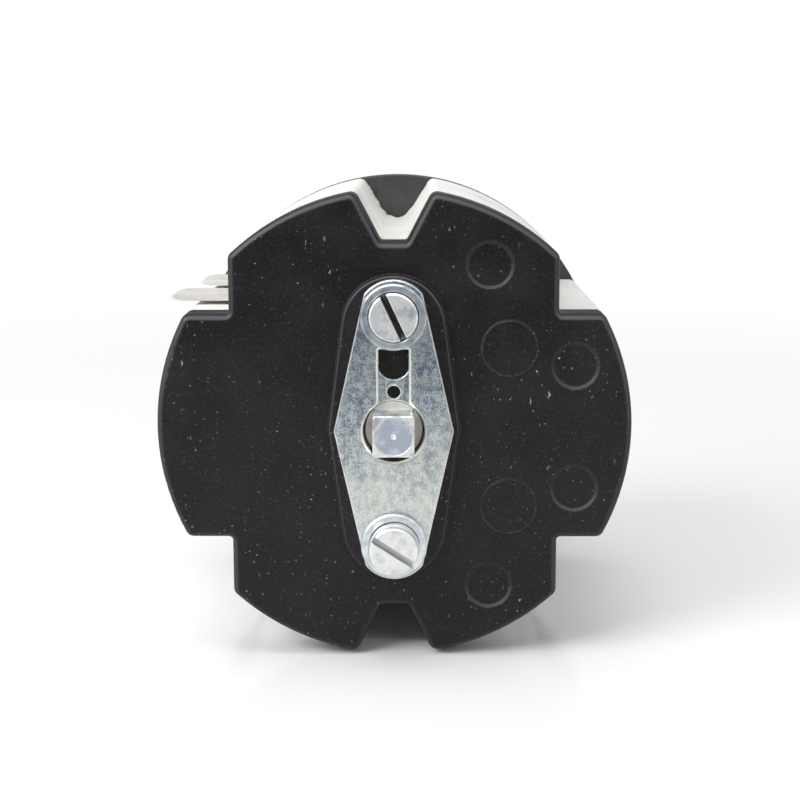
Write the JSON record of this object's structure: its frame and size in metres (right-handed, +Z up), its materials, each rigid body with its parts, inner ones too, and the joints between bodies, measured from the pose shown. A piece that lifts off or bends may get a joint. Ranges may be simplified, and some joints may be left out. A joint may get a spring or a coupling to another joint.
{
  "type": "rotary mains switch",
  "caption": "Round rotary mains switch: notched black front housing, white contact wafers and rear cover, with a plated fixing strap and a square spindle that turns the contacts.",
  "frame": {"origin": "on the spindle's axis, in the front face of the fixing strap, midway between the collars", "axes": "+Y along the spindle towards the back, +X to the right seen from the front, +Z up"},
  "size_m": [0.058, 0.0522, 0.058],
  "materials": {
    "black_moulding": "fine matt",
    "white_moulding": "satin",
    "brown_moulding": "satin",
    "fibre": "matt",
    "zinc_plate": "zinc plated",
    "turned_steel": "turned, zinc plated",
    "spring_steel": "bright",
    "tinned_brass": "tinned",
    "copper": "bright",
    "silver": "satin"
  },
  "bodies": {
    "case": {"front_housing": "black_moulding", "rear_cover": "black_moulding", "wafer_front": "white_moulding", "wafer_rear": "white_moulding", "fixing_strap": "zinc_plate", "index_tongue": "zinc_plate", "upper_collar": "turned_steel", "upper_stud": "turned_steel", "upper_washer": "zinc_plate", "upper_nut": "zinc_plate", "lower_collar": "turned_steel", "lower_stud": "turned_steel", "lower_washer": "zinc_plate", "lower_nut": "zinc_plate", "detent_spring_left": "spring_steel", "detent_spring_right": "spring_steel", "barrier_disc_front": "fibre", "barrier_disc_rear": "fibre", "terminal_front_line": "tinned_brass", "terminal_front_load": "tinned_brass", "terminal_rear_line": "tinned_brass", "terminal_rear_load": "tinned_brass", "fixed_tip_front_line": "silver", "fixed_tip_front_load": "silver", "fixed_tip_rear_line": "silver", "fixed_tip_rear_load": "silver"},
    "spindle": {"spindle": "turned_steel", "retaining_clip": "spring_steel", "stop_disc": "spring_steel", "detent_cam": "spring_steel", "rotor_base_front": "brown_moulding", "rotor_cap_front": "brown_moulding", "contact_bridge_front": "copper", "bridge_tips_front": "silver", "rotor_base_rear": "brown_moulding", "rotor_cap_rear": "brown_moulding", "contact_bridge_rear": "copper", "bridge_tips_rear": "silver"}
  },
  "joints": [
    {"name": "spindle_turn", "type": "hinge", "parent": "case", "child": "spindle", "pos_m": [0, 0, 0], "axis": [0, 1, 0], "range_deg": [0, 90], "deforming": ["detent_spring_left", "detent_spring_right"]}
  ]
}
